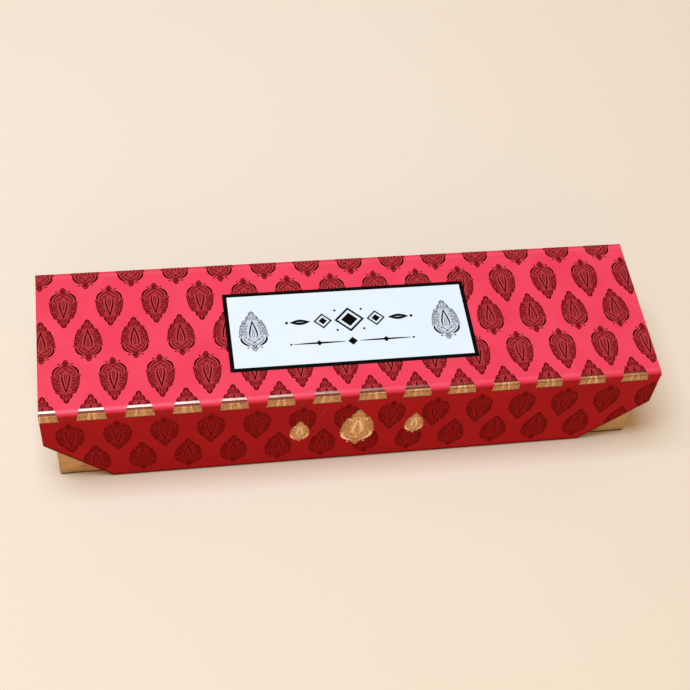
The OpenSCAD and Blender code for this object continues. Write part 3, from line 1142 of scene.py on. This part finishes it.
def lid_paper_piece(outer, inner):
    """The sheet over the lid, its front fold and the band that is glued to the flap."""
    front = hinge_stations(0, 1, FRONT_BEND)
    top = [(s, WRAPPED_T) for s in evenly(front[-1][0], LID_BACK, BACK_STEPS)[1:]]
    mesh = wrapped_sheet("lid_paper", [(on_flap(BAND_LOW), WRAPPED_T)] + front + top)
    piece = paper_piece("lid_paper", mesh, (0, 0, 1), outer, inner)
    blend_over_front(piece)
    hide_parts("lid_cover", "front_fold", "flap_band")


def blend_over_front(piece):
    """Bakes a piece's place into its mesh; the piece runs from the lid over the front fold to the flap."""
    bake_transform(piece)


def back_fold_piece(outer, inner):
    """The sheet over the back fold and the band that is glued to the spine."""
    fold = hinge_stations(BOX_D, -1, BACK_BEND)
    stations = [(LID_BACK, WRAPPED_T)] + fold[1:] + [(on_spine(BAND_LOW), WRAPPED_T)]
    mesh = wrapped_sheet("back_fold_paper", stations)
    piece = paper_piece("back_fold_paper", mesh, (0, 1, 0), outer, inner)
    blend_over_back(piece)
    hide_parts("back_fold")


def blend_over_back(piece):
    """Bakes a piece's place into its mesh; the piece runs from the spine over the back fold to the lid."""
    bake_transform(piece)


def corner_cut():
    """Length of the flap's cut corners, read from its cover in the frame."""
    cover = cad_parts["flap_cover"].data
    ends = [v.co.z / MM for v in cover.vertices if v.co.x / MM > HALF_L - ON_FACE]
    return min(ends) - PANEL_LOW


def flap_paper_piece(cut, outer, inner):
    """The sheet over the flap below the band."""
    mesh = panel_sheet("flap_paper", cut, on_flap)
    piece = paper_piece("flap_paper", mesh, (0, -1, 0), outer, inner)
    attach(piece, "flap")
    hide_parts("flap_cover")


def spine_paper_piece(outer, inner):
    """The sheet over the spine below the band."""
    mesh = panel_sheet("spine_paper", 0, on_spine)
    piece = paper_piece("spine_paper", mesh, (0, 1, 0), outer, inner)
    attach(piece, "root")
    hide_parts("spine_cover")


def print_pieces(cut, lid_inks, panel_inks):
    """The leaves on the lid and its folds, the flap and the spine."""
    leaf = link("leaf", draw_leaf(MOTIF_H).mesh("leaf"))
    tree = lattice_tree()

    def up(foot, inks):
        return lattice(tree, leaf, (UP_X, foot), 1, False, inks)

    def down(foot, inks, rows=1):
        return lattice(tree, leaf, (DOWN_X, foot), rows, True, inks)

    fold_row, back_row = up(UP_FOOT - MOTIF_PERIOD, lid_inks), up(UP_FOOT + MOTIF_PERIOD, lid_inks)
    lid_rows = [up(UP_FOOT, lid_inks), down(DOWN_FOOT, lid_inks, 2), back_row]
    flap_rows = [down(on_flap(PANEL_HIGH_FOOT), panel_inks), up(on_flap(PANEL_LOW_FOOT), panel_inks)]
    spine_rows = [down(on_spine(PANEL_LOW_FOOT), panel_inks), up(on_spine(PANEL_HIGH_FOOT), panel_inks)]
    bpy.data.objects.remove(leaf)

    limits = end_limits() + between(on_flap(BAND_LOW), UP_FOOT)
    front_print = fold_print("front_fold_print", [fold_row], limits, FRONT_BEND.runs(FRONT_SCORES))
    blend_over_front(front_print)
    lid_print = fold_print("lid_print", lid_rows, end_limits() + between(0, LID_BACK))
    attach(lid_print, "lid")
    limits = end_limits() + between(LID_BACK, on_spine(BAND_LOW))
    scores = [BOX_D - run for run in BACK_BEND.runs(BACK_SCORES)]
    back_print = fold_print("back_fold_print", [back_row], limits, scores)
    blend_over_back(back_print)
    flap_print = fold_print("flap_print", flap_rows, end_limits() + cut_limits(cut))
    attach(flap_print, "flap")
    spine_print = fold_print("spine_print", spine_rows, end_limits())
    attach(spine_print, "root")


def medallion_pieces(inks):
    """The three gold medallions on the flap."""
    meshes = []
    for x, height in ((0, LARGE_MEDALLION), (-MEDALLION_X, SMALL_MEDALLION), (MEDALLION_X, SMALL_MEDALLION)):
        mesh = draw_leaf(height).inked("medallion", inks)
        foot = (x, on_flap(MEDALLION_Z - height / 2), BOLD_LIFT)
        mesh.transform(Matrix.Translation(Vector(foot) * MM))
        meshes.append(mesh)
    piece = fold_print("medallions", meshes, [])
    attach(piece, "flap")
    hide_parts("flap_medallions")


def label_piece(paper, inks):
    """The label: a thin black plate, and on it the paper field, two silver leaves and a lozenge ornament."""
    low, high = [Vector(p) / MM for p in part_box("label")]
    top = high.z - LABEL_PRINT_T
    edge = ((0, low.z), (0, top - LABEL_CHAMFER), (LABEL_CHAMFER, top))
    points, faces = closed_rings([[(x, y, z) for x, y in rectangle(low, high, inset)] for inset, z in edge])
    plate = mesh_from("label_plate", points, faces + [(3, 2, 1, 0), (8, 9, 10, 11)])
    plate.materials.append(inks[BOLD])
    middle = (low + high) / 2
    half = high - middle
    field = Drawing(1.0)
    field.fill(rectangle(-half, half, LABEL_BORDER))
    printed = [(field.inked("field", [paper]), (0, 0, -FILL_LIFT / 2))]
    printed.append((label_art().inked("art", inks), (0, 0, 0)))
    for side in (-1, 1):
        leaf = draw_leaf(LABEL_LEAF, LABEL_LEAF_WIDEN).inked("label_leaf", inks)
        printed.append((leaf, (side * LABEL_LEAF_X, -LABEL_LEAF / 2, 0)))
    for mesh, shift in printed:
        place = Vector((middle.x, middle.y, top)) + Vector(shift)
        mesh.transform(Matrix.Translation(place * MM))
    bm, materials = joined([plate] + [mesh for mesh, _ in printed])
    piece = piece_from(bm, "label_sheet", materials)
    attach(piece, "lid")
    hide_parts("label")


def label_art():
    """The ornament in the label's middle, in millimetres round its centre."""
    art = Drawing(1.0)
    for x, half, thick in ((0, 7.4, 1.5), (13.2, 4.6, 1.1), (-13.2, 4.6, 1.1)):
        rings = [lozenge(x, ORNAMENT_Y, half), lozenge(x, ORNAMENT_Y, half - thick)]
        art.add(*closed_rings(rings), BOLD)
        art.fill(lozenge(x, ORNAMENT_Y, half - LOZENGE_INSET * thick), BOLD)
    for bulge in (0.9, -0.9):
        petal = [(19.5, ORNAMENT_Y), (24.5, ORNAMENT_Y + bulge), (29.5, ORNAMENT_Y)]
        art.both(petal, 0.1, 0.75, BOLD)
    art.both([(3.6, RULE_Y), (16.0, RULE_Y), (29.0, RULE_Y)], 0.12, 0.5, BOLD)
    for x, half in ((-16.5, 1.6), (0, 2.4), (16.5, 1.6)):
        art.fill(lozenge(x, RULE_Y, half), BOLD)
    for x, y, radius in ((31.0, ORNAMENT_Y, 0.8), (30.2, RULE_Y, 0.6), (6.6, 9.6, 0.65), (6.6, -2.4, 0.65)):
        art.dots(x, y, radius, BOLD)
    return art


def lozenge(x, y, half):
    """Corners of a lozenge."""
    return [(x - half, y), (x, y - half), (x + half, y), (x, y + half)]


def tray_ring(inset, z, low, high):
    """One closed ring of points round the tray at a height, drawn in from its outer faces."""
    radius = max(TRAY_CORNER_R - inset, LEAST_R)
    ring = []
    for i, corner in enumerate(((high.x, low.y), (high.x, high.y), (low.x, high.y), (low.x, low.y))):
        x = corner[0] - math.copysign(inset + radius, corner[0])
        y = corner[1] - math.copysign(inset + radius, corner[1])
        for angle in evenly(90 * (i - 1), 90 * i, FILLET_STEPS):
            turn = math.radians(angle)
            ring.append((x + radius * math.cos(turn), y + radius * math.sin(turn), z))
    return ring


def tray_paper_piece(gold, back):
    """Gold paper round the tray: under its floor, up the walls, over the rim and down inside."""
    low, high = [Vector(p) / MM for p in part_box("tray_wrap")]
    wall = reach("tray_front_board", Y)[1] - low.y + (high.z - reach("tray_front_board", Z)[1])
    turned = high.z - reach("tray_lining", Z)[1]
    bend = quarter(TRAY_EDGE_R)
    flat = TRAY_EDGE_R + BESIDE
    section = [(TRAY_UNDER, low.z), (flat, low.z)]
    section += [(inset, low.z + depth) for inset, depth in bend]
    section += [(0, low.z + flat)]
    section += [(0, z) for z in evenly(low.z, high.z, TRAY_STEPS)[1:-1]]
    section += [(0, high.z - flat)]
    section += [(inset, high.z - depth) for inset, depth in reversed(bend)]
    section += [(wall - inset, high.z - depth) for inset, depth in bend]
    section += [(wall, high.z - flat), (wall, high.z - turned)]
    points, faces = closed_rings([tray_ring(inset, z, low, high) for inset, z in section])
    mesh = mesh_from("tray_paper", points, faces)
    piece = paper_piece("tray_paper", mesh, (0, -1, 0), gold, back)
    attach(piece, "root")
    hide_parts("tray_wrap")
    for name, side in (("left", -1), ("right", 1)):
        tray_end_sheet(name, side, low, high, gold)


def tray_end_sheet(name, side, low, high, gold):
    """The paper's end piece, glued over the turned-round edges of the front and back pieces."""
    face = high.x if side > 0 else low.x
    first, last = (low.y + TRAY_LAP, low.z + TRAY_EDGE_R), (high.y - TRAY_LAP, high.z - TRAY_EDGE_R)
    rings = []
    for inset, lift in END_SHEET_EDGE:
        rings.append([(face + side * lift, y, z) for y, z in rectangle(first, last, inset)])
    points, faces = closed_rings(rings)
    mesh = mesh_from("end_sheet", points, faces + [(0, 1, 2, 3), (8, 9, 10, 11)])
    face_outwards(mesh, (side, 0, 0))
    piece = link(f"tray_{name}_end_sheet", mesh)
    dress(piece, gold)
    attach(piece, "root")


def scuff_piece(material):
    """A few fine scratches in the flap's paper."""
    art = Drawing(1.0)
    for line in SCUFFS:
        art.stroke(line, 0.02, 0.13, FILL)
    piece = fold_print("flap_scuffs", [art.inked("scuffs", [material])], [])
    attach(piece, "flap")


# Stage

# The floor's far parts: their colour, and the distances in metres over which it takes over
FAR_FLOOR = paint(243, 227, 204)
FAR_RUN = (0.28, 0.8)
BLACK = (0, 0, 0, 1)
# Half of the floor's length
FLOOR_HALF = 3000


def floor_finish():
    """Pale warm floor, with painted shade a little deeper towards the front right. Its far parts look evenly
    pale.
    """
    finish = Finish("floor", paint(245, 228, 206), {"Roughness": 0.9, "Specular IOR Level": 0.1})
    place = finish.object_place()
    slant = finish.part(place, X) * 0.5 - finish.part(place, Y)
    # Painted shade: a little deeper towards the front right
    near = finish.fade(slant, -0.35, 0.45, paint(250, 233, 213), paint(246, 228, 204))
    away = finish.node("VectorMath", {"operation": "LENGTH"}, {0: place}, 1)
    seen = finish.node("LightPath") + finish.node("LightPath", output=3)
    far = finish.rise(away, *FAR_RUN) * seen
    finish.give("Base Color", finish.mix(far, near, BLACK))
    finish.give("Emission Color", finish.mix(far, BLACK, FAR_FLOOR))
    finish.give("Emission Strength", 1.0)
    return finish.material


def make_floor():
    """A plain floor under the box."""
    corners = [(x, y, 0) for x, y in rectangle((-FLOOR_HALF, -FLOOR_HALF), (FLOOR_HALF, FLOOR_HALF))]
    floor = link("floor", mesh_from("floor", corners, [(0, 1, 2, 3)]))
    dress(floor, floor_finish())


# Strength and colour of the even light, then colour, place, target, size and power of the key lamp overhead
# and of the fill lamp in front, in metres and watts. The even light and the key together are about white
WORLD_LIGHT = 0.38
WORLD_COLOUR = (1.0, 0.66, 0.37)
KEY_COLOUR = (0.84, 1.06, 1.26)
KEY_PLACE = (-0.38, -0.02, 1.7)
KEY_TARGET = (0, 0, 0.05)
KEY_SIZE = (0.85, 1.0)
KEY_POWER = 22.3
FILL_PLACE = (-0.3, -1.2, 0.7)
FILL_TARGET = (0, 0, 0.02)
FILL_SIZE = (1.0, 0.6)
FILL_POWER = 2.5


def make_world():
    """Even soft light. Where the camera looks past the floor, it sees the floor's pale colour."""
    world = bpy.data.worlds.new("studio")
    bpy.context.scene.world = world
    world.use_nodes = True
    nodes, links = world.node_tree.nodes, world.node_tree.links
    light, pale = nodes["Background"], nodes.new("ShaderNodeBackground")
    light.inputs["Color"].default_value = (*WORLD_COLOUR, 1.0)
    light.inputs["Strength"].default_value = WORLD_LIGHT
    pale.inputs["Color"].default_value = FAR_FLOOR
    choice, rays = nodes.new("ShaderNodeMixShader"), nodes.new("ShaderNodeLightPath")
    links.new(rays.outputs["Is Camera Ray"], choice.inputs[0])
    links.new(light.outputs[0], choice.inputs[1])
    links.new(pale.outputs[0], choice.inputs[2])
    links.new(choice.outputs[0], nodes["World Output"].inputs["Surface"])


def make_lamp(name, place, target, size, power, colour):
    """A soft rectangular lamp that looks at a point."""
    data = bpy.data.lights.new(name, "AREA")
    data.shape = "RECTANGLE"
    data.size, data.size_y = size
    data.energy = power
    data.color = colour
    lamp = link(name, data)
    lamp.location = place
    lamp.rotation_euler = (Vector(target) - Vector(place)).to_track_quat("-Z", "Y").to_euler()


# The photograph's view, worked out from the box's corners, in degrees and millimetres
VIEW_AZIMUTH = -17.351
VIEW_ELEVATION = 54.702
VIEW_ROLL = 10.321
VIEW_DISTANCE = 695.4
VIEW_TARGET = (16.29, -9.22, 20.0)
VIEW_LENS = 71.077
VIEW_SHIFT = (-0.0478, 0.0493)


def make_camera():
    """The camera, turned by its angles and set back from the point that it turns round."""
    azimuth, elevation, roll = (math.radians(a) for a in (VIEW_AZIMUTH, VIEW_ELEVATION, VIEW_ROLL))
    tilt = Matrix.Rotation(math.pi / 2 - elevation, 3, "X")
    turn = Matrix.Rotation(azimuth, 3, "Z") @ tilt @ Matrix.Rotation(roll, 3, "Z")
    data = bpy.data.cameras.new("camera")
    data.lens = VIEW_LENS
    data.shift_x, data.shift_y = VIEW_SHIFT
    camera = link("camera", data)
    place = (Vector(VIEW_TARGET) + turn.col[2] * VIEW_DISTANCE) * MM
    camera.matrix_world = Matrix.Translation(place) @ turn.to_4x4()
    bpy.context.scene.camera = camera


def dress_frame_nodes():
    """Finishes of the CAD pieces that stay."""
    grey = plain_finish("greyboard", paint(150, 143, 132), paint(126, 119, 108), (900, 900, 900), 0.85)
    card = plain_finish("divider_card", paint(238, 230, 212), paint(222, 211, 190), (700, 2200, 2200), 0.75)
    lining = plain_finish("lining_paper", IVORY, paint(228, 218, 198), (800, 2400, 800), 0.7)
    kraft = plain_finish("kraft_paper", paint(196, 152, 104), paint(172, 128, 84), (500, 1800, 500), 0.8)
    pale, dark = paint(200, 200, 202), paint(176, 176, 180)
    steel = plain_finish("steel", pale, dark, (300, 300, 2000), 0.35, 1.0, 0.01)
    pale, dark = paint(150, 150, 152), paint(120, 120, 124)
    nickel = plain_finish("nickel", pale, dark, (600, 600, 600), 0.3, 1.0, 0.01)
    boards = ["lid", "flap", "spine", "tray_floor", "tray_front", "tray_back", "tray_left", "tray_right"]
    dressed = (
        (grey, [f"{board}_board" for board in boards]),
        (lining, ["lid_lining", "flap_lining", "spine_lining"]),
        (gold_paper("lining_gold"), ["tray_lining"]),
        (card, ["long_divider", "cross_dividers"]),
        (kraft, ["corner_stays", "base_sheet"]),
        (steel, ["keeper_discs"]),
        (nickel, ["flap_magnets"]),
    )
    for material, names in dressed:
        for name in names:
            dress(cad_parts[name], material)


def make_box():
    """Every visible piece of the box, with its finish."""
    cut = corner_cut()
    lid = coated_paper("lid_paper", CORAL, LID_GLOSS, lid_tone)
    deep = coated_paper("deep_red_paper", DEEP_RED, FLAP_GLOSS, deep_tone)
    flap = coated_paper("flap_red_paper", DEEP_RED, FLAP_GLOSS, flap_tone(cut))
    back = paper_back()
    lid_paper_piece(lid, back)
    back_fold_piece(lid, back)
    flap_paper_piece(cut, flap, back)
    spine_paper_piece(deep, back)
    lid_inks = (
        lid_ink("leaf_fill", paint(172, 42, 50), paint(186, 58, 64), GOLD, GOLD_BROWN),
        lid_ink("leaf_line", paint(104, 3, 6), paint(118, 8, 12), GOLD_BROWN, GOLD),
        lid_ink("leaf_glint", paint(194, 78, 84), paint(212, 92, 98), GOLD_BRIGHT, GOLD),
        lid_ink("leaf_bold", paint(74, 0, 0), paint(88, 1, 3), GOLD_BRIGHT, GOLD),
    )
    panel_inks = (
        tone_ink("flap_leaf_fill", paint(152, 18, 18), paint(160, 21, 21)),
        tone_ink("flap_leaf_line", paint(104, 5, 3), paint(116, 9, 6)),
        tone_ink("flap_leaf_glint", paint(168, 26, 26), paint(176, 29, 29)),
        tone_ink("flap_leaf_bold", paint(106, 5, 3), paint(116, 8, 5)),
    )
    medallion_foils = (
        gold_leaf("medallion_fill", paint(224, 168, 108), paint(206, 146, 88)),
        gold_leaf("medallion_line", paint(166, 106, 56), paint(190, 130, 74)),
        gold_leaf("medallion_glint", GOLD_BRIGHT, GOLD),
        gold_leaf("medallion_bold", paint(255, 226, 172), GOLD_BRIGHT),
    )
    label_inks = (
        label_ink("label_silver", paint(220, 227, 237), paint(200, 208, 219), 0.2),
        label_ink("label_grey", paint(126, 132, 142), paint(146, 153, 163), 0.2),
        label_ink("label_pale", paint(236, 243, 250), paint(228, 235, 244)),
        label_ink("label_black", paint(6, 5, 5), paint(14, 12, 12)),
    )
    print_pieces(cut, lid_inks, panel_inks)
    medallion_pieces(medallion_foils)
    label_piece(label_paper(), label_inks)
    tray_paper_piece(gold_paper("tray_gold"), back)
    scuff_piece(tone_ink("scuffed_red", paint(232, 74, 84), paint(222, 50, 60)))
    dress_frame_nodes()


bpy.context.scene.view_settings.view_transform = "Standard"
make_camera()
make_floor()
make_world()
make_lamp("key", KEY_PLACE, KEY_TARGET, KEY_SIZE, KEY_POWER, KEY_COLOUR)
make_lamp("fill", FILL_PLACE, FILL_TARGET, FILL_SIZE, FILL_POWER, WORLD_COLOUR)
make_box()
